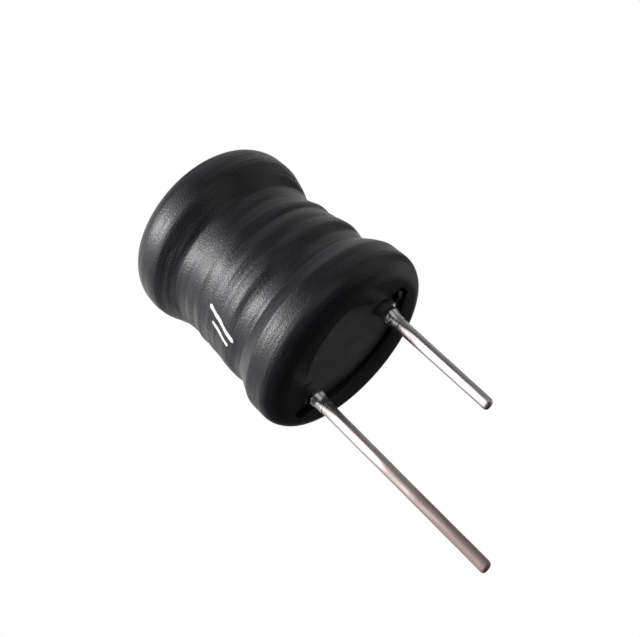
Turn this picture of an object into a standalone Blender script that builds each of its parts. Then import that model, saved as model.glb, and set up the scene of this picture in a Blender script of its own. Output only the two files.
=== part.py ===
# Radial inductor: a ferrite drum core wound with enamelled wire, two tinned leads and a shrunk sleeve.
# Metres, +Z up. The origin is on the axis, in the plane where the sleeve meets the board.
# The leads point down along -Z and stand in a row along X; the head is up.
import math

import bmesh
import bpy
from mathutils import Vector

MM = 0.001

# Driving sizes
BASE_FLANGE_RADIUS = 4.55 * MM
HEAD_FLANGE_RADIUS = 4.42 * MM
BASE_FLANGE_THICKNESS = 1.40 * MM
HEAD_FLANGE_THICKNESS = 1.35 * MM
BASE_RIM_ROUND = 0.65 * MM
HEAD_RIM_ROUND = 0.90 * MM
INNER_RIM_ROUND = 0.25 * MM
CORE_HEIGHT = 9.90 * MM
POST_RADIUS = 2.00 * MM
POST_FILLET = 0.30 * MM

LEAD_PITCH = 5.00 * MM
LEAD_RADIUS = 0.30 * MM
SHORT_LEAD_REACH = 6.30 * MM
LONG_LEAD_REACH = 10.80 * MM
LEAD_SEAT_DEPTH = 1.05 * MM
LEAD_CUT_CHAMFER = 0.05 * MM

NOTCH_WIDTH = 1.10 * MM
NOTCH_WEB = 0.45 * MM

WIRE_RADIUS = 0.22 * MM
TURN_PITCH = 0.45 * MM
COIL_RADIUS = 3.82 * MM
COIL_HUMPS = (  # height over the board, rise, half width: where the last layers pile up
    (3.60 * MM, 0.29 * MM, 1.10 * MM),
    (5.25 * MM, 0.16 * MM, 0.75 * MM),
)

SLEEVE_WALL = 0.25 * MM
BASE_LIP_STAND = 0.20 * MM
HEAD_LIP_STAND = 0.10 * MM
LIP_FLAT = 0.30 * MM
BASE_DRAPE = 1.30 * MM
HEAD_DRAPE = 2.00 * MM
BASE_MOUTH_LENGTH = 7.80 * MM
BASE_MOUTH_WIDTH = 5.00 * MM
HEAD_MOUTH_RADIUS = 2.60 * MM

SOLDER_FOOT_RADIUS = 0.60 * MM
SOLDER_HEIGHT = 0.72 * MM
SOLDER_SKIN = 0.04 * MM

SEAT_GAP = 0.05 * MM
PIN_CLEARANCE = 0.03 * MM

# Sizes that follow from them
SLEEVE_OFFSET = SLEEVE_WALL + SEAT_GAP
CORE_BOTTOM = SLEEVE_OFFSET + BASE_LIP_STAND
CORE_TOP = CORE_BOTTOM + CORE_HEIGHT
COIL_BOTTOM = CORE_BOTTOM + BASE_FLANGE_THICKNESS + SEAT_GAP
COIL_TOP = CORE_TOP - HEAD_FLANGE_THICKNESS - SEAT_GAP
SLEEVE_TOP = CORE_TOP + SLEEVE_OFFSET + HEAD_LIP_STAND
NOTCH_FLOOR = LEAD_PITCH / 2 + LEAD_RADIUS + PIN_CLEARANCE + NOTCH_WEB
PIN_HOLE_DEPTH = LEAD_SEAT_DEPTH + SEAT_GAP

ROUND_STEPS = 48
CORE_STEPS = 40
ARC_STEPS = 5


def make_material(name, color, roughness, metallic):
    material = bpy.data.materials.new(name)
    material.use_nodes = True
    shader = material.node_tree.nodes["Principled BSDF"]
    shader.inputs["Base Color"].default_value = (*color, 1.0)
    shader.inputs["Roughness"].default_value = roughness
    shader.inputs["Metallic"].default_value = metallic
    material.diffuse_color = (*color, 1.0)
    return material


def object_from(name, bm, material=None):
    bmesh.ops.remove_doubles(bm, verts=bm.verts, dist=1e-7)
    bmesh.ops.recalc_face_normals(bm, faces=bm.faces)
    mesh = bpy.data.meshes.new(name)
    bm.to_mesh(mesh)
    bm.free()
    built = bpy.data.objects.new(name, mesh)
    bpy.context.scene.collection.objects.link(built)
    if material:
        mesh.materials.append(material)
    return built


def arc(centre_r, centre_z, radius, start, end, steps=ARC_STEPS):
    # Points of an arc in the (radius, height) plane, angles in degrees from the outward radius
    turns = [math.radians(start + (end - start) * i / steps) for i in range(steps + 1)]
    return [(centre_r + radius * math.cos(a), centre_z + radius * math.sin(a)) for a in turns]


def revolved(profile, steps, centre=(0.0, 0.0)):
    # Spins a chain of (radius, height) points about the upright line through centre.
    # It starts half a step round, so that no row of points lies in the plane of the leads and notches.
    bm = bmesh.new()
    cx, cy = centre
    first = math.pi / steps
    along, aside = math.cos(first), math.sin(first)
    chain = [bm.verts.new((cx + r * along, cy + r * aside, z)) for r, z in profile]
    edges = [bm.edges.new(pair) for pair in zip(chain, chain[1:])]
    bmesh.ops.spin(
        bm,
        geom=chain + edges,
        cent=(cx, cy, 0.0),
        axis=(0.0, 0.0, 1.0),
        angle=2 * math.pi,
        steps=steps,
        use_merge=True,
    )
    return bm


def cut(target, cutter):
    cutter.hide_render = True
    cutter.display_type = "WIRE"
    boolean = target.modifiers.new(cutter.name, "BOOLEAN")
    boolean.operation = "DIFFERENCE"
    boolean.solver = "EXACT"
    boolean.object = cutter


def smooth(t):
    t = min(max(t, 0.0), 1.0)
    return t * t * (3 - 2 * t)


def coil_radius(z):
    # The outside of the wound wire at height z, before the grooves between turns
    rise = sum(h * math.exp(-(((z - at) / half) ** 2)) for at, h, half in COIL_HUMPS)
    return COIL_RADIUS + rise


def drum_profile():
    base_r, head_r = BASE_FLANGE_RADIUS, HEAD_FLANGE_RADIUS
    base_in = CORE_BOTTOM + BASE_FLANGE_THICKNESS
    head_in = CORE_TOP - HEAD_FLANGE_THICKNESS
    edge = INNER_RIM_ROUND
    fillet = POST_FILLET
    points = [(0.0, CORE_BOTTOM)]
    points += arc(base_r - BASE_RIM_ROUND, CORE_BOTTOM + BASE_RIM_ROUND, BASE_RIM_ROUND, -90, 0)
    points += arc(base_r - edge, base_in - edge, edge, 0, 90, 3)
    points += arc(POST_RADIUS + fillet, base_in + fillet, fillet, 270, 180, 4)
    points += arc(POST_RADIUS + fillet, head_in - fillet, fillet, 180, 90, 4)
    points += arc(head_r - edge, head_in + edge, edge, -90, 0, 3)
    points += arc(head_r - HEAD_RIM_ROUND, CORE_TOP - HEAD_RIM_ROUND, HEAD_RIM_ROUND, 0, 90)
    points.append((0.0, CORE_TOP))
    return points


def notch_cutter(side):
    # A round-bottomed slot from the rim towards the lead, through the base flange, for one wire tail
    half = NOTCH_WIDTH / 2
    bm = bmesh.new()
    outer = BASE_FLANGE_RADIUS + 1 * MM
    floor = NOTCH_FLOOR + half
    outline = [Vector((outer, -half, 0)), Vector((outer, half, 0))]
    for i in range(9):
        a = math.radians(90 + 180 * i / 8)
        outline.append(Vector((floor + half * math.cos(a), half * math.sin(a), 0)))
    top = CORE_BOTTOM + BASE_FLANGE_THICKNESS + POST_FILLET
    bottom = CORE_BOTTOM - 0.5 * MM
    face = bm.faces.new([bm.verts.new((side * p.x, side * p.y, bottom)) for p in outline])
    grown = bmesh.ops.extrude_face_region(bm, geom=[face])
    moved = [v for v in grown["geom"] if isinstance(v, bmesh.types.BMVert)]
    bmesh.ops.translate(bm, verts=moved, vec=(0, 0, top - bottom))
    return object_from(f"notch_cutter_{'short' if side > 0 else 'long'}", bm)


def pin_hole_cutter(side):
    radius = LEAD_RADIUS + PIN_CLEARANCE
    depth_end = CORE_BOTTOM + PIN_HOLE_DEPTH
    start = CORE_BOTTOM - 0.5 * MM
    profile = [(0.0, start), (radius, start), (radius, depth_end), (0.0, depth_end)]
    bm = revolved(profile, 20, (side * LEAD_PITCH / 2, 0.0))
    return object_from(f"pin_hole_cutter_{'short' if side > 0 else 'long'}", bm)


def drum_core(material):
    core = object_from("drum_core", revolved(drum_profile(), CORE_STEPS), material)
    for side in (1, -1):
        cut(core, notch_cutter(side))
        cut(core, pin_hole_cutter(side))
    return core


def coil_body():
    # The wound wire as one solid: a bore for the post and one helical ridge per turn of the last layer
    bm = bmesh.new()
    columns = 26
    rows_per_turn = 4
    turns = math.ceil((COIL_TOP - COIL_BOTTOM) / TURN_PITCH)
    grid = []
    for j in range(columns + 1):
        around = j / columns
        angle = 2 * math.pi * around
        column = []
        for k in range(-rows_per_turn - 1, (turns + 1) * rows_per_turn + 1):
            z = COIL_BOTTOM + TURN_PITCH * (k / rows_per_turn + around)
            z = min(max(z, COIL_BOTTOM), COIL_TOP)
            phase = ((z - COIL_BOTTOM) / TURN_PITCH - around) % 1.0
            across = 1.9 * (phase - 0.5) * WIRE_RADIUS
            groove = WIRE_RADIUS - math.sqrt(WIRE_RADIUS**2 - across**2)
            r = coil_radius(z) - groove
            column.append(bm.verts.new((r * math.cos(angle), r * math.sin(angle), z)))
        grid.append(column)
    for left, right in zip(grid, grid[1:]):
        for k in range(len(left) - 1):
            bm.faces.new((left[k], right[k], right[k + 1], left[k + 1]))
    bmesh.ops.remove_doubles(bm, verts=bm.verts, dist=1e-7)
    bmesh.ops.dissolve_degenerate(bm, edges=bm.edges, dist=1e-7)
    bore = POST_RADIUS + SEAT_GAP
    flare = POST_FILLET
    inner = [
        (bore + flare, COIL_BOTTOM),
        (bore, COIL_BOTTOM + flare),
        (bore, COIL_TOP - flare),
        (bore + flare, COIL_TOP),
    ]
    rings = []
    for r, z in inner:
        angles = [2 * math.pi * j / columns for j in range(columns)]
        rings.append([bm.verts.new((r * math.cos(a), r * math.sin(a), z)) for a in angles])
    for low, high in zip(rings, rings[1:]):
        for j in range(columns):
            k = (j + 1) % columns
            bm.faces.new((low[j], high[j], high[k], low[k]))
    for height, ring in ((COIL_BOTTOM, rings[0]), (COIL_TOP, rings[-1])):
        rim = [e for e in bm.edges if e.is_boundary and all(abs(v.co.z - height) < 1e-9 for v in e.verts)]
        bmesh.ops.bridge_loops(bm, edges=rim)
    return bm


def tail_route(side):
    # From inside the last turn, down through the notch and in over the flange to the solder
    pin = LEAD_PITCH / 2
    down = NOTCH_FLOOR + SEAT_GAP + WIRE_RADIUS
    across = CORE_BOTTOM - SEAT_GAP - WIRE_RADIUS
    stop = pin + SOLDER_FOOT_RADIUS + SEAT_GAP
    bend = 1.5 * WIRE_RADIUS
    route = [(down, COIL_BOTTOM + 3 * WIRE_RADIUS), (down, across + bend)]
    for i in range(1, 5):
        a = math.radians(22.5 * i)
        route.append((down - bend + bend * math.cos(a), across + bend - bend * math.sin(a)))
    route.append((stop, across))
    return [Vector((side * x, 0.0, z)) for x, z in route]


def tail(side):
    curve = bpy.data.curves.new("tail", "CURVE")
    curve.dimensions = "3D"
    curve.bevel_depth = WIRE_RADIUS
    curve.bevel_resolution = 1
    curve.use_fill_caps = True
    points = tail_route(side)
    spline = curve.splines.new("POLY")
    spline.points.add(len(points) - 1)
    for point, place in zip(spline.points, points):
        point.co = (*place, 1.0)
    drawn = bpy.data.objects.new("tail_curve", curve)
    mesh = bpy.data.meshes.new_from_object(drawn)
    bpy.data.objects.remove(drawn)
    wire = bpy.data.objects.new(f"tail_{'short' if side > 0 else 'long'}", mesh)
    bpy.context.scene.collection.objects.link(wire)
    wire.hide_render = True
    wire.display_type = "WIRE"
    return wire


def winding(material):
    coil = object_from("winding", coil_body(), material)
    for side in (1, -1):
        joined = coil.modifiers.new("tail", "BOOLEAN")
        joined.operation = "UNION"
        joined.solver = "EXACT"
        joined.object = tail(side)
    return coil


def lead(name, side, reach, material):
    top = CORE_BOTTOM + LEAD_SEAT_DEPTH
    profile = [
        (0.0, top),
        (LEAD_RADIUS, top),
        (LEAD_RADIUS, -reach + LEAD_CUT_CHAMFER),
        (LEAD_RADIUS - LEAD_CUT_CHAMFER, -reach),
        (0.0, -reach),
    ]
    return object_from(name, revolved(profile, 20, (side * LEAD_PITCH / 2, 0.0)), material)


def solder_joint(name, side, material):
    # A collar of solder that covers the tail's last wraps and runs out along the lead
    bore = LEAD_RADIUS + PIN_CLEARANCE
    foot = CORE_BOTTOM - SEAT_GAP
    tip_r = bore + SOLDER_SKIN
    steps = 8
    flank = []
    for i in range(steps + 1):
        t = i / steps
        belly = math.cos(math.pi / 2 * t)
        flank.append((tip_r + (SOLDER_FOOT_RADIUS - tip_r) * belly, foot - SOLDER_HEIGHT * t))
    profile = [(bore, foot)] + flank + [(bore, foot - SOLDER_HEIGHT), (bore, foot)]
    return object_from(name, revolved(profile, 24, (side * LEAD_PITCH / 2, 0.0)), material)


def mouth_radius(angle):
    half_long, half_wide = BASE_MOUTH_LENGTH / 2, BASE_MOUTH_WIDTH / 2
    return half_long * half_wide / math.hypot(half_wide * math.cos(angle), half_long * math.sin(angle))


def end_curl(outer, bend, stand, mouth, narrow_mouth, rows):
    # One line of a rolled end, from the mouth's edge out over its flat crest and round the rim.
    # Each point is (radius, depth below the crest). Where the lip dips in to the core, the points keep
    # to its corners, so the crest is a flat ring; where the mouth reaches the crest they are spread evenly.
    crest_out = outer - bend
    crest_in = crest_out - LIP_FLAT
    dip = max(crest_in - mouth, 0.0)
    ledge = max(crest_out - max(mouth, crest_in), 0.0)
    last = math.pi / 2
    if mouth > crest_out:
        last = math.acos((mouth - crest_out) / bend)
    length = dip + ledge + bend * last
    dip_rows = 3
    held = min(dip / LIP_FLAT, 1.0)
    points = []
    for i in range(rows + 1):
        if i <= dip_rows:
            cornered = dip * i / dip_rows
        else:
            cornered = dip + ledge + bend * last * (i - dip_rows - 1) / (rows - dip_rows - 1)
        along = held * cornered + (1 - held) * length * i / rows
        if along < dip:
            inward = (dip - along) / (crest_in - narrow_mouth)
            points.append((mouth + along, stand * inward**2))
        elif along < dip + ledge:
            points.append((max(mouth, crest_in) + along - dip, 0.0))
        else:
            a = last - (along - dip - ledge) / bend
            points.append((crest_out + bend * math.cos(a), bend - bend * math.sin(a)))
    return points


def drape_radius(z):
    # The sleeve between the flanges: it leans on the coil and hangs like a tent to both flanges
    on_coil = coil_radius(z) + SLEEVE_OFFSET
    base_edge = CORE_BOTTOM + BASE_FLANGE_THICKNESS
    head_edge = CORE_TOP - HEAD_FLANGE_THICKNESS
    r = on_coil
    base_share = 1 - smooth((z - base_edge) / BASE_DRAPE)
    head_share = 1 - smooth((head_edge - z) / HEAD_DRAPE)
    r += base_share * max(BASE_FLANGE_RADIUS + SLEEVE_OFFSET - on_coil, 0.0)
    r += head_share * max(HEAD_FLANGE_RADIUS + SLEEVE_OFFSET - on_coil, 0.0)
    return r


def sleeve_column(angle):
    # One line down the sleeve's outside, from the mouth at the leads to the mouth at the head
    base_bend = BASE_RIM_ROUND + SLEEVE_OFFSET + BASE_LIP_STAND
    head_bend = HEAD_RIM_ROUND + SLEEVE_OFFSET + HEAD_LIP_STAND
    base_out = BASE_FLANGE_RADIUS + SLEEVE_OFFSET
    head_out = HEAD_FLANGE_RADIUS + SLEEVE_OFFSET
    narrow = BASE_MOUTH_WIDTH / 2
    column = end_curl(base_out, base_bend, BASE_LIP_STAND, mouth_radius(angle), narrow, 9)
    low = CORE_BOTTOM + BASE_FLANGE_THICKNESS
    high = CORE_TOP - HEAD_FLANGE_THICKNESS
    rows = 19
    heights = [low + (high - low) * i / rows for i in range(rows + 1)]
    column += [(drape_radius(z), z) for z in heights]
    head = end_curl(head_out, head_bend, HEAD_LIP_STAND, HEAD_MOUTH_RADIUS, HEAD_MOUTH_RADIUS, 7)
    column += [(r, SLEEVE_TOP - depth) for r, depth in reversed(head)]
    return column


def shrink_sleeve(material):
    bm = bmesh.new()
    loops = []
    for j in range(ROUND_STEPS):
        angle = 2 * math.pi * j / ROUND_STEPS
        points = sleeve_column(angle)
        loops.append([bm.verts.new((r * math.cos(angle), r * math.sin(angle), z)) for r, z in points])
    for left, right in zip(loops, loops[1:] + loops[:1]):
        for k in range(len(left) - 1):
            bm.faces.new((left[k], right[k], right[k + 1], left[k + 1]))
    sleeve = object_from("shrink_sleeve", bm, material)
    wall = sleeve.modifiers.new("wall", "SOLIDIFY")
    wall.thickness = SLEEVE_WALL
    wall.offset = -1.0
    wall.use_even_offset = True
    return sleeve


def build():
    for old in list(bpy.data.objects):
        bpy.data.objects.remove(old, do_unlink=True)
    ferrite = make_material("ferrite", (0.035, 0.034, 0.036), 0.65, 0.0)
    enamel = make_material("enamelled_copper", (0.55, 0.20, 0.06), 0.35, 1.0)
    tin = make_material("tinned_wire", (0.72, 0.70, 0.69), 0.25, 1.0)
    solder = make_material("solder", (0.78, 0.77, 0.76), 0.18, 1.0)
    tube = make_material("black_shrink_tube", (0.016, 0.016, 0.018), 0.42, 0.0)
    drum_core(ferrite)
    winding(enamel)
    lead("lead_short", 1, SHORT_LEAD_REACH, tin)
    lead("lead_long", -1, LONG_LEAD_REACH, tin)
    solder_joint("solder_joint_short", 1, solder)
    solder_joint("solder_joint_long", -1, solder)
    shrink_sleeve(tube)


build()
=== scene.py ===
# Radial inductor: looks for the drum choke in its shrunk black sleeve.
# Lengths in the dictionaries are millimetres, angles are degrees, colours are sRGB hex.
import math

import bmesh
import bpy
from mathutils import Matrix, Vector, noise


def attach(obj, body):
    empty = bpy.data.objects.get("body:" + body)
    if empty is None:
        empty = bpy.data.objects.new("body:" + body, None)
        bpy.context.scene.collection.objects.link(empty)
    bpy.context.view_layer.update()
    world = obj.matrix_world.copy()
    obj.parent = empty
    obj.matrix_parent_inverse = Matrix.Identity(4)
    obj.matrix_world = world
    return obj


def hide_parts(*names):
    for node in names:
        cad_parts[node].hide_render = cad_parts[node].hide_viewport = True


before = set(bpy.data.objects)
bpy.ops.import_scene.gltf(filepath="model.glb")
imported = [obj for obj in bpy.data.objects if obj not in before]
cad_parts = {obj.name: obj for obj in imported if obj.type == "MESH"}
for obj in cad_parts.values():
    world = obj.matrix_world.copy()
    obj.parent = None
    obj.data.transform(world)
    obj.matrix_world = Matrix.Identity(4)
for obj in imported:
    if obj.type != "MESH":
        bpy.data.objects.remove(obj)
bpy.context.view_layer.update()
scene = bpy.context.scene
mm = 0.001


def linear(hexColour):
    # sRGB hex to the linear colour that the shaders want
    parts = [int(hexColour[i:i + 2], 16) / 255 for i in (1, 3, 5)]
    return [p / 12.92 if p <= 0.04045 else ((p + 0.055) / 1.055) ** 2.4 for p in parts]


def blendIn(value, start, end):
    # 0 before start, 1 after end, smooth between
    t = min(max((value - start) / (end - start), 0.0), 1.0)
    return t * t * (3 - 2 * t)


def deselectAll():
    if bpy.context.object and bpy.context.object.mode != "OBJECT":
        bpy.ops.object.mode_set(mode="OBJECT")
    bpy.ops.object.select_all(action="DESELECT")


def startPiece(name):
    # The primitive that was just added gets its name
    piece = bpy.context.object
    piece.name = name
    piece.data.name = name
    return piece


def selectEdges(piece, wanted):
    # Edit mode, with only those edges selected whose two ends answer yes
    bpy.ops.object.mode_set(mode="EDIT")
    bpy.ops.mesh.select_mode(type="EDGE")
    bpy.ops.mesh.select_all(action="DESELECT")
    mesh = bmesh.from_edit_mesh(piece.data)
    for edge in mesh.edges:
        edge.select_set(wanted(edge.verts[0].co, edge.verts[1].co))
    bmesh.update_edit_mesh(piece.data)


def ringTube(name, sides, rows, ends="NOTHING"):
    # A tube cut into rows of rings, one unit high each, to be pressed to shape ring by ring
    deselectAll()
    bpy.ops.mesh.primitive_cylinder_add(
        vertices=sides, radius=1, depth=rows, end_fill_type=ends, location=(0, 0, 0)
    )
    tube = startPiece(name)
    # In two passes, because subdivide makes 100 cuts at most
    for cuts in (rows // 2 - 1, 1):
        selectEdges(tube, lambda a, b: abs(a.z - b.z) > 0.5)  # the upright edges
        bpy.ops.mesh.subdivide(number_cuts=cuts)
        bpy.ops.object.mode_set(mode="OBJECT")
    return tube


def pressRings(tube, rows, pointAt):
    # pointAt takes the turn and the row, from 0 at the bottom
    for vertex in tube.data.vertices:
        turn = math.atan2(vertex.co.y, vertex.co.x)
        vertex.co = pointAt(turn, round(vertex.co.z + rows / 2))


def mergeAndFaceOut(piece, distance=0.0001):
    bpy.ops.object.mode_set(mode="EDIT")
    bpy.ops.mesh.select_all(action="SELECT")
    bpy.ops.mesh.remove_doubles(threshold=distance * mm)
    bpy.ops.mesh.normals_make_consistent(inside=False)
    bpy.ops.object.mode_set(mode="OBJECT")


def finishPiece(piece, material, smoothAngle=40):
    # Place goes into the mesh, shading is set, and the piece rides on the one body
    deselectAll()
    piece.select_set(True)
    bpy.context.view_layer.objects.active = piece
    for modifier in list(piece.modifiers):
        bpy.ops.object.modifier_apply(modifier=modifier.name)
    bpy.ops.object.transform_apply(location=True, rotation=True, scale=True)
    bpy.ops.object.shade_smooth_by_angle(angle=math.radians(smoothAngle))
    piece.data.materials.clear()
    piece.data.materials.append(material)
    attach(piece, "root")
    print(piece.name, len(piece.data.polygons), "faces")


# Materials
def startMaterial(name):
    material = bpy.data.materials.new(name)
    material.use_nodes = True
    material.node_tree.nodes.clear()
    return material


def addNode(owner, kind, settings=None, values=None, links=None):
    # One node with its settings, its socket values and what is linked into it
    node = owner.node_tree.nodes.new(kind)
    for key, value in (settings or {}).items():
        setattr(node, key, value)
    for key, value in (values or {}).items():
        node.inputs[key].default_value = value
    for key, source in (links or {}).items():
        owner.node_tree.links.new(source, node.inputs[key])
    return node


def rgba(hexColour):
    return (*linear(hexColour), 1)


def inMm(sizes):
    return [size * mm for size in sizes]


# A noise keeps near its middle, so a map takes only this part of its range
noiseRange = {"From Min": 0.3, "From Max": 0.7}

# Sizes of a pattern are the lengths of its patches along x, y and z in millimetres
sleeveFilm = {
    "black": "#19171c",
    "worn": "#242229",
    "roughness": (0.31, 0.40),
    "ior": 1.5,
    "wrinkle": (2.6, 2.6, 0.24),  # drawn out round the body
    "wrinkleDeep": 0.027,
    "grain": (0.09, 0.09, 0.09),  # coarser than the real skin of the film, so that it shows
    "grainDeep": 0.015,
    "streak": (3.0, 3.0, 0.5),
    "patch": (1.4, 1.4, 1.0),
}


def polyolefinFilm():
    # Heat-shrunk polyolefin tube: satin black, drawn into fine wrinkles round the body, with a
    # slightly grainy skin and duller streaks where it rubbed
    f = sleeveFilm
    film = startMaterial("polyolefin_shrunk_satin")
    place = addNode(film, "ShaderNodeTexCoord").outputs["Object"]
    # Wrinkles and streaks lean with the body
    lean = (0, sleeve["tilt"], 0)
    wrinklePlace = addNode(
        film, "ShaderNodeMapping", {"vector_type": "TEXTURE"},
        {"Scale": inMm(f["wrinkle"]), "Rotation": lean}, {"Vector": place},
    )
    wrinkles = addNode(
        film, "ShaderNodeTexNoise", None, {"Scale": 1.0, "Detail": 4.0, "Roughness": 0.55},
        {"Vector": wrinklePlace.outputs["Vector"]},
    )
    grainPlace = addNode(
        film, "ShaderNodeMapping", {"vector_type": "TEXTURE"}, {"Scale": inMm(f["grain"])},
        {"Vector": place},
    )
    grain = addNode(
        film, "ShaderNodeTexNoise", None, {"Scale": 1.0, "Detail": 2.0, "Roughness": 0.6},
        {"Vector": grainPlace.outputs["Vector"]},
    )
    streakPlace = addNode(
        film, "ShaderNodeMapping", {"vector_type": "TEXTURE"},
        {"Scale": inMm(f["streak"]), "Rotation": lean}, {"Vector": place},
    )
    streaks = addNode(
        film, "ShaderNodeTexNoise", None, {"Scale": 1.0, "Detail": 3.0, "Roughness": 0.6},
        {"Vector": streakPlace.outputs["Vector"]},
    )
    patchPlace = addNode(
        film, "ShaderNodeMapping", {"vector_type": "TEXTURE"}, {"Scale": inMm(f["patch"])},
        {"Vector": place},
    )
    patches = addNode(
        film, "ShaderNodeTexNoise", None, {"Scale": 1.0, "Detail": 2.0, "Roughness": 0.5},
        {"Vector": patchPlace.outputs["Vector"]},
    )
    wornShare = addNode(
        film, "ShaderNodeMapRange", None, noiseRange, {"Value": streaks.outputs["Fac"]}
    )
    colour = addNode(
        film, "ShaderNodeMix", {"data_type": "RGBA"}, {6: rgba(f["black"]), 7: rgba(f["worn"])},
        {0: wornShare.outputs["Result"]},
    )
    smooth, rough = f["roughness"]
    roughness = addNode(
        film, "ShaderNodeMapRange", None,
        {**noiseRange, "To Min": smooth, "To Max": rough},
        {"Value": patches.outputs["Fac"]},
    )
    drawn = addNode(
        film, "ShaderNodeBump", None, {"Distance": f["wrinkleDeep"] * mm},
        {"Height": wrinkles.outputs["Fac"]},
    )
    grainy = addNode(
        film, "ShaderNodeBump", None, {"Distance": f["grainDeep"] * mm},
        {"Height": grain.outputs["Fac"], "Normal": drawn.outputs["Normal"]},
    )
    shader = addNode(
        film, "ShaderNodeBsdfPrincipled", None, {"IOR": f["ior"]},
        {"Base Color": colour.outputs[2], "Roughness": roughness.outputs["Result"],
         "Normal": grainy.outputs["Normal"]},
    )
    addNode(film, "ShaderNodeOutputMaterial", None, None, {"Surface": shader.outputs["BSDF"]})
    return film


tinCoat = {
    "bright": "#dfd8d7",
    "dull": "#bdaaa9",  # thin tin, with the copper's warmth coming through
    "roughness": (0.20, 0.28),
    "dullRoughness": 0.76,
    "dullFrom": -0.7,
    "dullTo": -16.2,
    "longDuller": (0.9, 0, 1),  # a direction that puts the long lead further down
    "dullUneven": 0.7,  # how far the lumps shift it
    "dullBetween": (0.45, 1.0),
    "lump": (0.35, 0.35, 1.4),
    "lumpDeep": 0.008,
    "speck": (0.10, 0.10, 0.30),
    "speckDeep": 0.0008,
}


def tinnedCopper():
    # Hot-tinned copper wire: bright and a little lumpy, duller and pinker towards the cut ends
    t = tinCoat
    wire = startMaterial("tinned_copper_hot_dipped")
    place = addNode(wire, "ShaderNodeTexCoord").outputs["Object"]
    lumpPlace = addNode(
        wire, "ShaderNodeMapping", {"vector_type": "TEXTURE"}, {"Scale": inMm(t["lump"])},
        {"Vector": place},
    )
    lumps = addNode(
        wire, "ShaderNodeTexNoise", None, {"Scale": 1.0, "Detail": 3.0, "Roughness": 0.5},
        {"Vector": lumpPlace.outputs["Vector"]},
    )
    speckPlace = addNode(
        wire, "ShaderNodeMapping", {"vector_type": "TEXTURE"}, {"Scale": inMm(t["speck"])},
        {"Vector": place},
    )
    specks = addNode(
        wire, "ShaderNodeTexNoise", None, {"Scale": 1.0, "Detail": 2.0, "Roughness": 0.6},
        {"Vector": speckPlace.outputs["Vector"]},
    )
    # How far down the wire it is, unevenly
    placeInMm = addNode(
        wire, "ShaderNodeMapping", {"vector_type": "TEXTURE"}, {"Scale": inMm((1, 1, 1))},
        {"Vector": place},
    )
    height = addNode(
        wire, "ShaderNodeVectorMath", {"operation": "DOT_PRODUCT"}, {1: t["longDuller"]},
        {0: placeInMm.outputs["Vector"]},
    )
    down = addNode(
        wire, "ShaderNodeMapRange", None, {"From Min": t["dullFrom"], "From Max": t["dullTo"]},
        {"Value": height.outputs["Value"]},
    )
    uneven = addNode(
        wire, "ShaderNodeMath", {"operation": "MULTIPLY_ADD", "use_clamp": True},
        {1: t["dullUneven"]}, {0: lumps.outputs["Fac"], 2: down.outputs["Result"]},
    )
    start, full = t["dullBetween"]
    dullShare = addNode(
        wire, "ShaderNodeMapRange", None, {"From Min": start, "From Max": full},
        {"Value": uneven.outputs["Value"]},
    )
    colour = addNode(
        wire, "ShaderNodeMix", {"data_type": "RGBA"}, {6: rgba(t["bright"]), 7: rgba(t["dull"])},
        {0: dullShare.outputs["Result"]},
    )
    smooth, rough = t["roughness"]
    brightRoughness = addNode(
        wire, "ShaderNodeMapRange", None,
        {**noiseRange, "To Min": smooth, "To Max": rough},
        {"Value": specks.outputs["Fac"]},
    )
    roughness = addNode(
        wire, "ShaderNodeMix", {"data_type": "FLOAT"}, {3: t["dullRoughness"]},
        {0: dullShare.outputs["Result"], 2: brightRoughness.outputs["Result"]},
    )
    lumpy = addNode(
        wire, "ShaderNodeBump", None, {"Distance": t["lumpDeep"] * mm},
        {"Height": lumps.outputs["Fac"]},
    )
    specked = addNode(
        wire, "ShaderNodeBump", None, {"Distance": t["speckDeep"] * mm},
        {"Height": specks.outputs["Fac"], "Normal": lumpy.outputs["Normal"]},
    )
    shader = addNode(
        wire, "ShaderNodeBsdfPrincipled", None, {"Metallic": 1},
        {"Base Color": colour.outputs[2], "Roughness": roughness.outputs[0],
         "Normal": specked.outputs["Normal"]},
    )
    addNode(wire, "ShaderNodeOutputMaterial", None, None, {"Surface": shader.outputs["BSDF"]})
    return wire


tinDrop = {
    "bright": "#dcdad9",
    "dull": "#a39d9a",
    # Above these heights the neck is grey and no metal, coloured to show like the ferrite beside it
    "neckGrey": "#6f6c6b",
    "neckGreyFrom": 0.12,
    "neckGreyTo": 0.20,
    "neckGreyUneven": 0.20,
    "roughness": (0.16, 0.30),
    "patch": (0.25, 0.25, 0.25),
    "dullBetween": (0.55, 0.85),
    "ripple": (0.30, 0.30, 0.12),
    "rippleDeep": 0.004,
}


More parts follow.
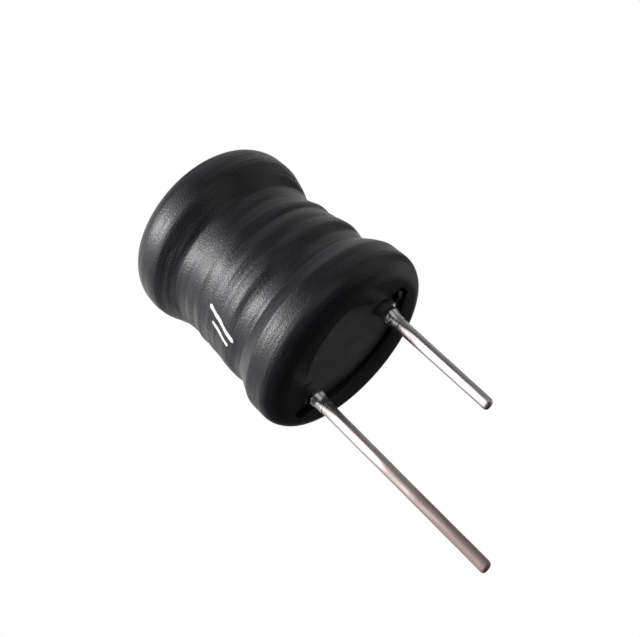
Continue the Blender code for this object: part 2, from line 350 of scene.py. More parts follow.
def tinSolder():
    # Tin solder, frozen from the melt: bright with faint ripples; above a set height the neck is
    # grey and no metal, coloured to show like the ferrite beside it
    d = tinDrop
    tin = startMaterial("tin_solder_reflowed")
    place = addNode(tin, "ShaderNodeTexCoord").outputs["Object"]
    patchPlace = addNode(
        tin, "ShaderNodeMapping", {"vector_type": "TEXTURE"}, {"Scale": inMm(d["patch"])},
        {"Vector": place},
    )
    patches = addNode(
        tin, "ShaderNodeTexNoise", None, {"Scale": 1.0, "Detail": 3.0, "Roughness": 0.6},
        {"Vector": patchPlace.outputs["Vector"]},
    )
    ripplePlace = addNode(
        tin, "ShaderNodeMapping", {"vector_type": "TEXTURE"}, {"Scale": inMm(d["ripple"])},
        {"Vector": place},
    )
    ripples = addNode(
        tin, "ShaderNodeTexNoise", None, {"Scale": 1.0, "Detail": 2.0, "Roughness": 0.5},
        {"Vector": ripplePlace.outputs["Vector"]},
    )
    placeInMm = addNode(
        tin, "ShaderNodeMapping", {"vector_type": "TEXTURE"}, {"Scale": inMm((1, 1, 1))},
        {"Vector": place},
    )
    height = addNode(
        tin, "ShaderNodeSeparateXYZ", None, None, {"Vector": placeInMm.outputs["Vector"]}
    )
    uneven = addNode(
        tin, "ShaderNodeMath", {"operation": "MULTIPLY_ADD"}, {1: d["neckGreyUneven"]},
        {0: patches.outputs["Fac"], 2: height.outputs["Z"]},
    )
    neckGrey = addNode(
        tin, "ShaderNodeMapRange", None, {"From Min": d["neckGreyFrom"], "From Max": d["neckGreyTo"]},
        {"Value": uneven.outputs["Value"]},
    )
    start, full = d["dullBetween"]
    dullShare = addNode(
        tin, "ShaderNodeMapRange", None, {"From Min": start, "From Max": full},
        {"Value": patches.outputs["Fac"]},
    )
    tinColour = addNode(
        tin, "ShaderNodeMix", {"data_type": "RGBA"}, {6: rgba(d["bright"]), 7: rgba(d["dull"])},
        {0: dullShare.outputs["Result"]},
    )
    colour = addNode(
        tin, "ShaderNodeMix", {"data_type": "RGBA"}, {7: rgba(d["neckGrey"])},
        {0: neckGrey.outputs["Result"], 6: tinColour.outputs[2]},
    )
    # The grey neck is no metal
    bare = addNode(
        tin, "ShaderNodeMath", {"operation": "SUBTRACT"}, {0: 1.0}, {1: neckGrey.outputs["Result"]}
    )
    smooth, rough = d["roughness"]
    roughness = addNode(
        tin, "ShaderNodeMapRange", None,
        {**noiseRange, "To Min": smooth, "To Max": rough},
        {"Value": patches.outputs["Fac"]},
    )
    rippled = addNode(
        tin, "ShaderNodeBump", None, {"Distance": d["rippleDeep"] * mm},
        {"Height": ripples.outputs["Fac"]},
    )
    shader = addNode(
        tin, "ShaderNodeBsdfPrincipled", None, None,
        {"Base Color": colour.outputs[2], "Metallic": bare.outputs["Value"],
         "Roughness": roughness.outputs["Result"], "Normal": rippled.outputs["Normal"]},
    )
    addNode(tin, "ShaderNodeOutputMaterial", None, None, {"Surface": shader.outputs["BSDF"]})
    return tin


enamel = {
    # Painted shade: both browns are darkened almost to black, for the tails deep in the mouth
    "dark": "#160c07",
    "pale": "#2a150b",
    "roughness": (0.25, 0.38),
    "patch": (1.2, 1.2, 0.15),  # each turn of the wire a little different
    "coat": 0.4,
    "coatRoughness": 0.12,
}


def enamelledCopper():
    # Copper wire under a baked polyesterimide enamel: clear and glossy, its brown darkened almost
    # to black as painted shade for the tails that lie deep in the mouth
    e = enamel
    copper = startMaterial("copper_wire_enamelled_shade_darkened")
    place = addNode(copper, "ShaderNodeTexCoord").outputs["Object"]
    turnPlace = addNode(
        copper, "ShaderNodeMapping", {"vector_type": "TEXTURE"}, {"Scale": inMm(e["patch"])},
        {"Vector": place},
    )
    turns = addNode(
        copper, "ShaderNodeTexNoise", None, {"Scale": 1.0, "Detail": 2.0, "Roughness": 0.5},
        {"Vector": turnPlace.outputs["Vector"]},
    )
    paleShare = addNode(
        copper, "ShaderNodeMapRange", None, noiseRange, {"Value": turns.outputs["Fac"]}
    )
    colour = addNode(
        copper, "ShaderNodeMix", {"data_type": "RGBA"}, {6: rgba(e["dark"]), 7: rgba(e["pale"])},
        {0: paleShare.outputs["Result"]},
    )
    smooth, rough = e["roughness"]
    roughness = addNode(
        copper, "ShaderNodeMapRange", None,
        {**noiseRange, "To Min": smooth, "To Max": rough},
        {"Value": turns.outputs["Fac"]},
    )
    shader = addNode(
        copper, "ShaderNodeBsdfPrincipled", None,
        {"Coat Weight": e["coat"], "Coat Roughness": e["coatRoughness"]},
        {"Base Color": colour.outputs[2], "Roughness": roughness.outputs["Result"]},
    )
    addNode(copper, "ShaderNodeOutputMaterial", None, None, {"Surface": shader.outputs["BSDF"]})
    return copper


stampedInk = {
    "white": "#f7f6f7",
    "thin": "#cfcdd0",
    "roughness": (0.5, 0.7),
    "patch": (0.12, 0.12, 0.12),
    "thinBetween": (0.55, 0.8),
}


def markingInk():
    # White marking ink, stamped on: opaque and matt, a little thin in places
    m = stampedInk
    paint = startMaterial("marking_ink_stamped")
    place = addNode(paint, "ShaderNodeTexCoord").outputs["Object"]
    patchPlace = addNode(
        paint, "ShaderNodeMapping", {"vector_type": "TEXTURE"}, {"Scale": inMm(m["patch"])},
        {"Vector": place},
    )
    patches = addNode(
        paint, "ShaderNodeTexNoise", None, {"Scale": 1.0, "Detail": 3.0, "Roughness": 0.6},
        {"Vector": patchPlace.outputs["Vector"]},
    )
    start, full = m["thinBetween"]
    thinShare = addNode(
        paint, "ShaderNodeMapRange", None, {"From Min": start, "From Max": full},
        {"Value": patches.outputs["Fac"]},
    )
    colour = addNode(
        paint, "ShaderNodeMix", {"data_type": "RGBA"}, {6: rgba(m["white"]), 7: rgba(m["thin"])},
        {0: thinShare.outputs["Result"]},
    )
    smooth, rough = m["roughness"]
    roughness = addNode(
        paint, "ShaderNodeMapRange", None,
        {**noiseRange, "To Min": smooth, "To Max": rough},
        {"Value": patches.outputs["Fac"]},
    )
    shader = addNode(
        paint, "ShaderNodeBsdfPrincipled", None, None,
        {"Base Color": colour.outputs[2], "Roughness": roughness.outputs["Result"]},
    )
    addNode(paint, "ShaderNodeOutputMaterial", None, None, {"Surface": shader.outputs["BSDF"]})
    return paint


core = {
    "dark": "#646062",
    "pale": "#8a8689",
    "roughness": (0.55, 0.72),
    "grain": (0.07, 0.07, 0.07),  # coarser than the real grain, so that it shows
    "grainDeep": 0.008,
    "cloud": (1.1, 1.1, 1.1),
}


def sinteredFerrite():
    # Nickel-zinc ferrite, pressed and sintered: matt charcoal with a fine dark and pale grain
    c = core
    ferrite = startMaterial("ferrite_sintered_matt")
    place = addNode(ferrite, "ShaderNodeTexCoord").outputs["Object"]
    grainPlace = addNode(
        ferrite, "ShaderNodeMapping", {"vector_type": "TEXTURE"}, {"Scale": inMm(c["grain"])},
        {"Vector": place},
    )
    grain = addNode(
        ferrite, "ShaderNodeTexNoise", None, {"Scale": 1.0, "Detail": 3.0, "Roughness": 0.65},
        {"Vector": grainPlace.outputs["Vector"]},
    )
    cloudPlace = addNode(
        ferrite, "ShaderNodeMapping", {"vector_type": "TEXTURE"}, {"Scale": inMm(c["cloud"])},
        {"Vector": place},
    )
    cloud = addNode(
        ferrite, "ShaderNodeTexNoise", None, {"Scale": 1.0, "Detail": 3.0, "Roughness": 0.5},
        {"Vector": cloudPlace.outputs["Vector"]},
    )
    # Half grain and half cloud
    grainPart = addNode(
        ferrite, "ShaderNodeMath", {"operation": "MULTIPLY"}, {1: 0.5}, {0: grain.outputs["Fac"]}
    )
    mixed = addNode(
        ferrite, "ShaderNodeMath", {"operation": "MULTIPLY_ADD"}, {1: 0.5},
        {0: cloud.outputs["Fac"], 2: grainPart.outputs["Value"]},
    )
    paleShare = addNode(
        ferrite, "ShaderNodeMapRange", None, noiseRange, {"Value": mixed.outputs["Value"]}
    )
    colour = addNode(
        ferrite, "ShaderNodeMix", {"data_type": "RGBA"}, {6: rgba(c["dark"]), 7: rgba(c["pale"])},
        {0: paleShare.outputs["Result"]},
    )
    smooth, rough = c["roughness"]
    roughness = addNode(
        ferrite, "ShaderNodeMapRange", None,
        {**noiseRange, "To Min": smooth, "To Max": rough},
        {"Value": cloud.outputs["Fac"]},
    )
    grainy = addNode(
        ferrite, "ShaderNodeBump", None, {"Distance": c["grainDeep"] * mm},
        {"Height": grain.outputs["Fac"]},
    )
    shader = addNode(
        ferrite, "ShaderNodeBsdfPrincipled", None, None,
        {"Base Color": colour.outputs[2], "Roughness": roughness.outputs["Result"],
         "Normal": grainy.outputs["Normal"]},
    )
    addNode(ferrite, "ShaderNodeOutputMaterial", None, None, {"Surface": shader.outputs["BSDF"]})
    return ferrite


# The sleeve
sleeve = {
    "columns": 208,
    "wall": 0.25,
    "height": 10.77,
    "crestFlat": 0.30,
    # Lead end
    "baseOut": 4.87,
    "baseBend": 1.00,
    "baseCrest": 0.06,  # the film stays this clear of the board
    "baseStand": 0.03,
    "farStand": 0.15,  # on one side the lip dips further in
    "farTurn": 60,
    "farSpread": (-0.2, 0.8),  # as the cosine of the turn from there
    "baseMouth": 2.60,
    "baseRows": 34,
    # Head end
    "headOut": 4.71,
    "headBend": 1.30,
    "headStand": 0.10,
    "headMouth": 2.60,
    "headMouthUneven": 0.16,
    "headMouthWave": 1.6,  # more makes the edge wander more often
    "headRows": 26,
    "barrelRows": 140,
    # Uneven shrinking: depth, width along the axis and length round the body
    "dents": (0.016, 0.60, 1.70),
    "fineWrinkles": (0.006, 0.26, 2.60),
    "dentRadius": 4.3,
    "offWaist": 0.35,  # share of the dents that the flanges get
    "waistFrom": (1.8, 3.0),
    "waistTo": (8.0, 8.8),
    # The body leans on its leads, given as a slope
    "tilt": -0.040,
    "tiltHeight": 4.25,
}

# Rings of the film between the two curls: height and radius at the +X, +Y, -X and -Y side, and
# whether the film turns sharply there
rings = (
    ((1.00, 1.00, 1.00, 1.00), (4.87, 4.87, 4.90, 4.87), False),
    ((1.76, 1.80, 1.80, 1.82), (4.86, 4.86, 4.87, 4.86), False),
    ((2.00, 2.02, 2.02, 2.02), (4.78, 4.79, 4.77, 4.79), False),
    ((2.92, 2.75, 2.88, 2.62), (4.31, 4.40, 4.38, 4.41), True),  # hollow behind the base flange
    ((3.50, 3.35, 3.40, 3.32), (4.28, 4.38, 4.42, 4.37), False),
    ((4.10, 4.00, 3.80, 3.95), (4.41, 4.43, 4.43, 4.45), False),  # first fold
    ((4.62, 4.60, 4.55, 4.55), (4.35, 4.35, 4.33, 4.36), False),
    ((5.02, 5.00, 4.95, 4.96), (4.27, 4.34, 4.28, 4.39), False),  # second fold
    ((5.45, 5.50, 5.50, 5.60), (4.20, 4.27, 4.25, 4.27), True),
    ((5.87, 6.00, 5.90, 6.10), (4.26, 4.24, 4.24, 4.27), False),  # third fold
    ((6.30, 6.40, 6.35, 6.50), (4.13, 4.19, 4.16, 4.23), False),
    ((6.70, 6.90, 6.85, 7.00), (4.08, 4.15, 4.13, 4.18), False),
    ((7.40, 7.50, 7.50, 7.60), (4.12, 4.16, 4.20, 4.15), False),  # hollow before the head flange
    ((7.90, 7.85, 7.85, 7.92), (4.40, 4.29, 4.30, 4.26), False),
    ((8.72, 8.72, 8.78, 8.72), (4.68, 4.67, 4.62, 4.67), True),  # edge of the head flange
    ((9.05, 9.05, 9.20, 9.00), (4.71, 4.71, 4.67, 4.71), False),
    ((9.50, 9.50, 9.50, 9.50), (4.70, 4.71, 4.65, 4.71), False),
)

# The mouth at the leads: how far the film's edge stands from the axis at each turn; it is drawn
# out round the two tails of the winding, at 0 and 180 degrees
mouth = (
    (-180, 3.96), (-175, 3.93), (-168, 3.30), (-158, 2.95), (-130, 2.95), (-96, 3.20), (-82, 3.35),
    (-67, 3.45), (-54, 3.15), (-37, 2.80), (-22, 2.85), (-12, 3.15), (-5, 3.70), (5, 3.72),
    (14, 3.40), (25, 3.15), (45, 2.90), (75, 2.70), (91, 2.62), (110, 2.62), (135, 2.80),
    (157, 3.05), (168, 3.40), (175, 3.93), (180, 3.96),
)


def roundTheBody(values, turn):
    # A value that is known at the +X, +Y, -X and -Y side, eased in between
    east, north, west, south = values
    mean = (east + north + west + south) / 4
    return (
        mean
        + (east - west) / 2 * math.cos(turn)
        + (north - south) / 2 * math.sin(turn)
        + (east + west - north - south) / 4 * math.cos(2 * turn)
    )


def easedThrough(points, at, corners=()):
    # A smooth line through (place, value) points in rising order; it breaks at the corners
    last = len(points) - 1
    k = 0
    while k < last - 1 and at > points[k + 1][0]:
        k += 1
    slopes = [
        (points[i + 1][1] - points[i][1]) / (points[i + 1][0] - points[i][0]) for i in range(last)
    ]

    def tangent(i, side):
        if i in (0, last) or i in corners:
            return slopes[min(max(i - 1 + side, 0), last - 1)]
        before, after = slopes[i - 1], slopes[i]
        return 0.0 if before * after <= 0 else 2 * before * after / (before + after)

    (x0, y0), (x1, y1) = points[k], points[k + 1]
    span = x1 - x0
    t = min(max((at - x0) / span, 0.0), 1.0)
    m0, m1 = tangent(k, 1) * span, tangent(k + 1, 0) * span
    return (
        (2 * t**3 - 3 * t**2 + 1) * y0 + (t**3 - 2 * t**2 + t) * m0
        + (3 * t**2 - 2 * t**3) * y1 + (t**3 - t**2) * m1
    )


# The film's line from end to end at each turn, kept because every ring asks for it
meridians = {}
sharpRings = [i for i, ring in enumerate(rings) if ring[2]]


def barrelRadius(z, turn):
    s = sleeve
    key = round(turn, 5)
    if key not in meridians:
        meridians[key] = [
            (roundTheBody(heights, turn), roundTheBody(radii, turn)) for heights, radii, _ in rings
        ]
    radius = easedThrough(meridians[key], z, sharpRings)
    # Dents are mostly on the waist, where the film spans the winding
    onWaist = (1 - s["offWaist"]) * blendIn(z, *s["waistFrom"]) * (1 - blendIn(z, *s["waistTo"]))
    share = s["offWaist"] + onWaist
    for depth, width, length in (s["dents"], s["fineWrinkles"]):
        around = s["dentRadius"] / length
        spot = Vector((math.cos(turn) * around, math.sin(turn) * around, z / width))
        radius += 2 * depth * share * noise.noise(spot + Vector((2.7, 5.1, width)))
    return radius


def mouthRadius(turn):
    return easedThrough(mouth, (math.degrees(turn) + 180) % 360 - 180)


def curl(t, out, bend, stand, opening, narrowest):
    # A rolled end from the mouth's edge (t = 0) over the crest to the flange's side (t = 1):
    # radius, and depth below the crest
    crestOut = out - bend
    crestIn = crestOut - sleeve["crestFlat"]
    dip = max(crestIn - opening, 0.0)
    ledge = max(crestOut - max(opening, crestIn), 0.0)
    last = math.pi / 2
    if opening > crestOut:
        last = math.acos((opening - crestOut) / bend)
    along = t * (dip + ledge + bend * last)
    if along < dip:
        inward = (dip - along) / (crestIn - narrowest)
        return opening + along, stand * inward**2
    if along < dip + ledge:
        return max(opening, crestIn) + along - dip, 0.0
    a = last - (along - dip - ledge) / bend
    return crestOut + bend * math.cos(a), bend - bend * math.sin(a)


def leaning(x, y, z):
    tilt = sleeve["tilt"]
    return Vector((x + tilt * (z - sleeve["tiltHeight"]), y, z - tilt * x)) * mm


def sleevePoint(turn, row):
    s = sleeve
    top = s["height"]
    if row < s["baseRows"]:
        far = blendIn(math.cos(turn - math.radians(s["farTurn"])), *s["farSpread"])
        stand = s["baseStand"] + s["farStand"] * far
        r, z = curl(
            row / s["baseRows"], s["baseOut"], s["baseBend"], stand, mouthRadius(turn),
            s["baseMouth"],
        )
        # The curl runs into the barrel's first ring
        r += (barrelRadius(s["baseBend"], turn) - s["baseOut"]) * blendIn(row, 0, s["baseRows"])
        z = s["baseCrest"] + z * (1 - s["baseCrest"] / s["baseBend"])
    elif row <= s["baseRows"] + s["barrelRows"]:
        barrel = top - s["headBend"] - s["baseBend"]
        z = s["baseBend"] + barrel * (row - s["baseRows"]) / s["barrelRows"]
        r = barrelRadius(z, turn)
    else:
        back = s["baseRows"] + s["barrelRows"] + s["headRows"] - row
        wave = s["headMouthWave"]
        spot = Vector((wave * math.cos(turn), wave * math.sin(turn), 7.0))
        opening = s["headMouth"] + s["headMouthUneven"] * noise.noise(spot)
        r, depth = curl(
            back / s["headRows"], s["headOut"], s["headBend"], s["headStand"], opening,
            s["headMouth"] - s["headMouthUneven"],
        )
        lastRing = barrelRadius(top - s["headBend"], turn)
        r += (lastRing - s["headOut"]) * blendIn(back, 0, s["headRows"])
        z = top - depth
    return leaning(r * math.cos(turn), r * math.sin(turn), z)


def shrinkSleeve(material):
    # A tube is pressed on to the drum ring by ring and given its wall
    s = sleeve
    rows = s["baseRows"] + s["barrelRows"] + s["headRows"]
    tube = ringTube("sleeve_film", s["columns"], rows)
    pressRings(tube, rows, sleevePoint)
    wall = tube.modifiers.new("wall", "SOLIDIFY")
    wall.thickness = s["wall"] * mm
    wall.offset = -1
    wall.use_even_offset = True
    finishPiece(tube, material, smoothAngle=60)
    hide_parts("shrink_sleeve")


def onFilm(turn, z, rise=0.0):
    # A point on the outside of the waist, or a little above it
    r = barrelRadius(z, turn) + rise
    return leaning(r * math.cos(turn), r * math.sin(turn), z)


# A plain stamped mark on the waist: two bars side by side
ink = {
    "turn": -131,
    "height": 4.40,
    "lean": 20,
    "thick": 0.012,
    "sunk": 0.1,  # share of the thickness that lies in the film
    "cuts": 23,
    "endWidth": 0.2,  # share of the width that is left at the very end
    "uneven": 0.25,
    "wave": (2.2, 3.0),  # how fast the edge wanders along and across a bar
    "seedStep": 5.0,
    # Length and width of each bar, and its place along the axis and round the body
    "bars": ((2.05, 0.22, 0.0, 0.24), (1.35, 0.19, -0.25, -0.26)),
}


def inkBar(number, material):
    long, wide, alongAt, roundAt = ink["bars"][number]
    deselectAll()
    bpy.ops.mesh.primitive_cube_add(size=1, location=(0, 0, 0))
    bar = startPiece(f"ink_bar_{number + 1}")
    bpy.ops.object.mode_set(mode="EDIT")
    bpy.ops.mesh.subdivide(number_cuts=ink["cuts"])
    bpy.ops.object.mode_set(mode="OBJECT")
    lean = math.radians(ink["lean"])
    waveAlong, waveAcross = ink["wave"]
    for vertex in bar.data.vertices:
        x, y, z = vertex.co
        # Round, slightly uneven ends and sides
        past = max(abs(x) * long - (long - wide) / 2, 0) / (wide / 2)
        y *= wide * max(math.sqrt(max(1 - past**2, 0)), ink["endWidth"])
        spot = Vector((x * long * waveAlong, number * ink["seedStep"], y * waveAcross))
        y *= 1 + ink["uneven"] * noise.noise(spot)
        # Leaned over and bent round the film
        x, y = x * long + alongAt, y + roundAt
        along = x * math.cos(lean) - y * math.sin(lean)
        roundBy = x * math.sin(lean) + y * math.cos(lean)
        height = ink["height"] + along
        turn = math.radians(ink["turn"]) + roundBy / barrelRadius(height, 0)
        vertex.co = onFilm(turn, height, ink["thick"] * (0.5 - ink["sunk"] + z))
    mergeAndFaceOut(bar)
    finishPiece(bar, material)


# The leads
leads = {
    "radius": 0.30,
    "seat": 1.50,  # height of the upper end inside the core
    "sides": 40,
    "rows": 72,
    # Thickness at the root and towards the tip as a share of the radius, and where the flat ends
    "short": {"x": 2.5, "reach": 6.30, "seed": 3.1, "root": 1.07, "tip": 0.93, "flatTo": 9.0},
    "long": {"x": -2.5, "reach": 10.80, "seed": 8.4, "root": 1.08, "tip": 0.97, "flatTo": 6.0},
    "taper": 6.0,
    "flatTurn": -108,  # the forming tool left a slight flat along this side
    "flatAt": 0.84,  # its distance from the middle, as a share of the radius
    "flatFrom": (0.7, 1.7),
    "flatRunOut": 2.5,
    "flatSharp": 14,
    "cutRows": 6,
    "cutRound": 0.17,
    "cutSlope": 0.10,
    "slopeRunIn": 0.5,
    "lumps": 0.006,
    "lumpWave": (0.8, 0.8, 0.9),
    "lumpsFrom": (0.02, 0.2),  # share of the length from the upper end
}


def leadWire(which, material):
    # A straight wire with the slight lumps of its tinning and a sheared, rounded end
    both, w = leads, leads[which]
    rows, cutRows = both["rows"], both["cutRows"]
    wire = ringTube(f"wire_{which}", both["sides"], rows, "NGON")
    length = both["seat"] + w["reach"]
    waveX, waveY, waveZ = both["lumpWave"]

    def pointAt(turn, row):
        if row <= cutRows:
            # The last rows round off the cut end
            bend = math.radians(90 * row / cutRows)
            r = both["radius"] - both["cutRound"] * (1 - math.sin(bend))
            z = -w["reach"] + both["cutRound"] * (1 - math.cos(bend))
        else:
            r = both["radius"]
            z = both["seat"] - (length - both["cutRound"]) * (rows - row) / (rows - cutRows)
        spot = Vector((math.cos(turn) * waveX, math.sin(turn) * waveY, z * waveZ + w["seed"]))
        r += both["lumps"] * noise.noise(spot) * blendIn((rows - row) / rows, *both["lumpsFrom"])
        if z < 0:
            # The tin is thicker near the body
            r *= w["root"] + (w["tip"] - w["root"]) * min(-z / both["taper"], 1.0)
        facing = math.cos(turn - math.radians(both["flatTurn"]))
        if facing > 0.2:  # further round, the flat doesn't reach the wire
            # The flat has a softened edge, and runs out towards the long lead's end
            runOut = blendIn(-z, w["flatTo"] - both["flatRunOut"], w["flatTo"])
            press = blendIn(-z, *both["flatFrom"]) - runOut
            flat = both["flatAt"] / facing
            pressed = r * (1 + flat ** -both["flatSharp"]) ** (-1 / both["flatSharp"])
            r += (pressed - r) * press
        sloping = blendIn(-z, w["reach"] - both["slopeRunIn"], w["reach"])
        z += both["cutSlope"] * (r * math.cos(turn)) * sloping
        return Vector((w["x"] + r * math.cos(turn), r * math.sin(turn), z)) * mm

    pressRings(wire, rows, pointAt)
    finishPiece(wire, material, smoothAngle=50)
    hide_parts(f"lead_{which}")


# Solder at the root of each lead: a slim neck on the core, a shoulder where the solder stood on
# the last wraps of the wire's tail, and a fillet that runs out on the lead
solder = {
    "clearance": 0.012,
    # Height and radius, from the thin end up to the foot on the core
    "outline": (
        (-0.80, 0.346), (-0.45, 0.375), (-0.12, 0.455), (0.00, 0.440), (0.10, 0.350), (0.45, 0.410),
    ),
    "uneven": 0.035,
    "wave": (0.8, 1.3),  # round the thin end, and up the outside
    "thinnest": 0.008,
    # How far it has run on to the wire's tail, between which heights, and how wide
    "tailReach": 0.30,
    "tailFrom": (-0.05, 0.15),
    "tailTo": (0.33, 0.45),
    "tailWide": (0.80, 1.0),  # as the cosine of the turn from there
    "sides": 56,
    "rows": 56,
    "boreRows": 12,
}


def solderFillet(which, material):
    w, s = leads[which], solder
    rows = s["rows"]
    flank = rows - s["boreRows"]
    low, high = s["outline"][0][0], s["outline"][-1][0]
    bore = leads["radius"] * w["root"] + s["clearance"]
    joint = ringTube(f"solder_{which}", s["sides"], rows)

    def pointAt(turn, row):
        around = Vector((math.cos(turn), math.sin(turn), w["seed"]))
        runOut = 2 * s["uneven"] * noise.noise(around * s["wave"][0])
        if row <= flank:
            # Up the outside
            t = row / flank
            z = low + (high - low) * t
            r = easedThrough(s["outline"], z)
            spot = around + Vector((0, 0, s["wave"][1] * z))
            r += s["uneven"] * noise.noise(spot) * blendIn(t, 0, 0.3)
            r = max(r, bore + s["thinnest"])
            # It has run on to the end of the wire's tail, on the outer side
            outer = math.copysign(1, w["x"]) * math.cos(turn)
            spread = blendIn(z, *s["tailFrom"]) * (1 - blendIn(z, *s["tailTo"]))
            r += s["tailReach"] * blendIn(outer, *s["tailWide"]) * spread
            z += runOut * (1 - t)
        else:
            # And back down the bore; the last ring lies on the first, and is merged with it
            t = min((row - flank) / (rows - flank - 1), 1.0)
            r = bore if row < rows else easedThrough(s["outline"], low)
            z = high + (low - high) * t + runOut * t
        return Vector((w["x"] + r * math.cos(turn), r * math.sin(turn), z)) * mm

    pressRings(joint, rows, pointAt)
    mergeAndFaceOut(joint)
    finishPiece(joint, material, smoothAngle=60)
    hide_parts(f"solder_joint_{which}")


# Camera: where the photograph was taken from, in the part's frame
cameraView = {
    "place": (3.06, -40.92, -16.88),
    "look": (-0.0626, 0.9028, 0.4254),
    "up": (0.7440, -0.2419, 0.6229),
    "lens": 54.92,
}


def photoCamera():
    data = bpy.data.cameras.new("photo_camera")
    data.lens = cameraView["lens"]
    data.clip_start = 1 * mm
    camera = bpy.data.objects.new("photo_camera", data)
    scene.collection.objects.link(camera)
    look = Vector(cameraView["look"]).normalized()
    side = look.cross(Vector(cameraView["up"])).normalized()
    up = side.cross(look)
    camera.matrix_world = Matrix((
        (side.x, up.x, -look.x, cameraView["place"][0] * mm),
        (side.y, up.y, -look.y, cameraView["place"][1] * mm),
        (side.z, up.z, -look.z, cameraView["place"][2] * mm),
        (0, 0, 0, 1),
    ))
    scene.camera = camera


def seenFromCamera(right, up, towards):
    # A direction given as the photographer sees it, in the part's frame
    turned = scene.camera.matrix_world.to_3x3() @ Vector((right, up, towards))
    return turned.normalized()


# Studio: one small softbox to the left, a white backdrop behind and the soft glow of a pale room
studio = {
    "softbox": {"from": (-0.95, 0.17, 0.27), "distance": 150, "size": (50, 45), "aim": 5,
                "glow": 21, "colour": "#fffdff"},
    # Centre as the camera sees it, and half angle where it starts and where it is full
    "backdrop": ((0.00, 0.00, -1.00), 26, 15),
    # The same for each glow, and its strength
    "glows": (
        ((-0.90, 0.12, 0.32), 42, 12, 2.15),
        ((-0.70, 0.08, -0.71), 34, 10, 0.90),
        ((0.84, 0.00, -0.54), 28, 8, 0.48),
        ((-0.86, -0.46, -0.22), 30, 10, 0.60),
        ((-0.52, -0.38, -0.76), 22, 6, 0.40),
        ((-0.21, 0.92, -0.33), 35, 12, 0.36),
        ((0.40, 0.77, -0.49), 24, 8, 0.28),
        ((0.10, 0.55, -0.83), 24, 8, 0.50),
        ((0.20, 0.93, 0.00), 40, 15, 0.12),
        ((0.16, 0.52, 0.84), 28, 8, 0.56),
        ((0.85, 0.50, 0.10), 34, 12, 0.45),
    ),
    "ambient": 0.045,
    "floorHeight": -60,
    "floorWidth": 900,
    "floorLift": 0.40,
    "floorColour": "#f2f2f0",
    "floorRoughness": 0.9,
}


def softbox():
    s = studio["softbox"]
    data = bpy.data.lights.new("softbox", "AREA")
    data.shape = "RECTANGLE"
    data.size, data.size_y = s["size"][0] * mm, s["size"][1] * mm
    data.energy = s["glow"] * math.pi * data.size * data.size_y
    data.color = linear(s["colour"])
    lamp = bpy.data.objects.new("softbox", data)
    scene.collection.objects.link(lamp)
    towards = seenFromCamera(*s["from"])
    away = seenFromCamera(0, 0, -1)
    across = (away - towards * away.dot(towards)).normalized()
    up = towards.cross(across)
    at = Vector((0, 0, s["aim"] * mm)) + towards * s["distance"] * mm
    lamp.matrix_world = Matrix((
        (across.x, up.x, towards.x, at.x),
        (across.y, up.y, towards.y, at.y),
        (across.z, up.z, towards.z, at.z),
        (0, 0, 0, 1),
    ))
    lamp.visible_camera = False


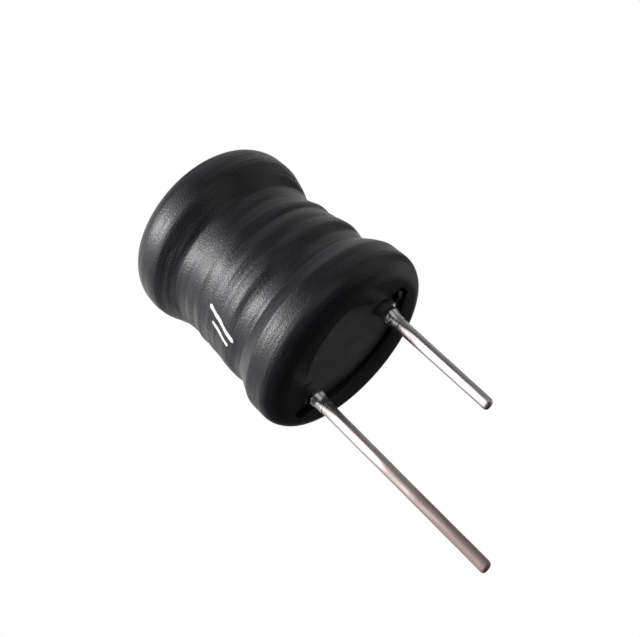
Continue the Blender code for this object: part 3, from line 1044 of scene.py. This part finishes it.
def room():
    # A white backdrop where the camera, gloss and glass look at it, and a room that glows by
    # direction
    world = bpy.data.worlds.new("pale_room")
    scene.world = world
    world.use_nodes = True
    world.node_tree.nodes.clear()
    direction = addNode(world, "ShaderNodeTexCoord").outputs["Generated"]
    lobes = []
    for centre, edge, full, strength in (*studio["glows"], (*studio["backdrop"], 1)):
        facing = addNode(
            world, "ShaderNodeVectorMath", {"operation": "DOT_PRODUCT"},
            {1: seenFromCamera(*centre)}, {0: direction},
        )
        glow = addNode(
            world, "ShaderNodeMapRange", {"interpolation_type": "SMOOTHSTEP"},
            {"From Min": math.cos(math.radians(edge)), "From Max": math.cos(math.radians(full)),
             "To Min": 0, "To Max": strength},
            {"Value": facing.outputs["Value"]},
        )
        lobes.append(glow.outputs["Result"])
    backdrop = lobes.pop()  # it was put last
    total = addNode(
        world, "ShaderNodeMath", {"operation": "ADD"}, {1: studio["ambient"]}, {0: lobes.pop()}
    )
    for glow in lobes:
        total = addNode(
            world, "ShaderNodeMath", {"operation": "ADD"}, None,
            {0: total.outputs["Value"], 1: glow},
        )
    ray = addNode(world, "ShaderNodeLightPath").outputs
    shiny = addNode(
        world, "ShaderNodeMath", {"operation": "ADD"}, None,
        {0: ray["Is Glossy Ray"], 1: ray["Is Transmission Ray"]},
    )
    mirrored = addNode(
        world, "ShaderNodeMath", {"operation": "MULTIPLY"}, None,
        {0: shiny.outputs["Value"], 1: backdrop},
    )
    white = addNode(
        world, "ShaderNodeMath", {"operation": "ADD"}, None,
        {0: ray["Is Camera Ray"], 1: mirrored.outputs["Value"]},
    )
    brighter = addNode(
        world, "ShaderNodeMath", {"operation": "MAXIMUM"}, None,
        {0: total.outputs["Value"], 1: white.outputs["Value"]},
    )
    shine = addNode(
        world, "ShaderNodeBackground", None, {"Color": (1, 1, 1, 1)},
        {"Strength": brighter.outputs["Value"]},
    )
    addNode(world, "ShaderNodeOutputWorld", None, None, {"Surface": shine.outputs["Background"]})


def paleFloor():
    deselectAll()
    bpy.ops.mesh.primitive_plane_add(
        size=studio["floorWidth"] * mm, location=(0, 0, studio["floorHeight"] * mm)
    )
    floor = startPiece("studio_floor")
    paint = startMaterial("floor_painted_matt")
    # To the camera it lies in the same white as the backdrop, and still takes a shadow
    lift = addNode(
        paint, "ShaderNodeMath", {"operation": "MULTIPLY"}, {1: studio["floorLift"]},
        {0: addNode(paint, "ShaderNodeLightPath").outputs["Is Camera Ray"]},
    )
    shader = addNode(
        paint, "ShaderNodeBsdfPrincipled", None,
        {"Base Color": rgba(studio["floorColour"]), "Roughness": studio["floorRoughness"],
         "Emission Color": (1, 1, 1, 1)},
        {"Emission Strength": lift.outputs["Value"]},
    )
    addNode(paint, "ShaderNodeOutputMaterial", None, None, {"Surface": shader.outputs["BSDF"]})
    floor.data.materials.append(paint)
    floor.visible_glossy = False
    floor.visible_diffuse = False
    floor.visible_shadow = False


photoCamera()
softbox()
room()
paleFloor()
print("camera, lights and floor are in place")

film = polyolefinFilm()
tin = tinnedCopper()
solderTin = tinSolder()
ferrite = sinteredFerrite()
lacquered = enamelledCopper()
for name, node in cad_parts.items():
    node.data.materials.clear()
    node.data.materials.append({"drum_core": ferrite, "winding": lacquered}.get(name, tin))
print("core and winding are dressed")

shrinkSleeve(film)
markInk = markingInk()
for number in range(len(ink["bars"])):
    inkBar(number, markInk)
for which in ("short", "long"):
    leadWire(which, tin)
    solderFillet(which, solderTin)

scene.view_settings.view_transform = "Standard"
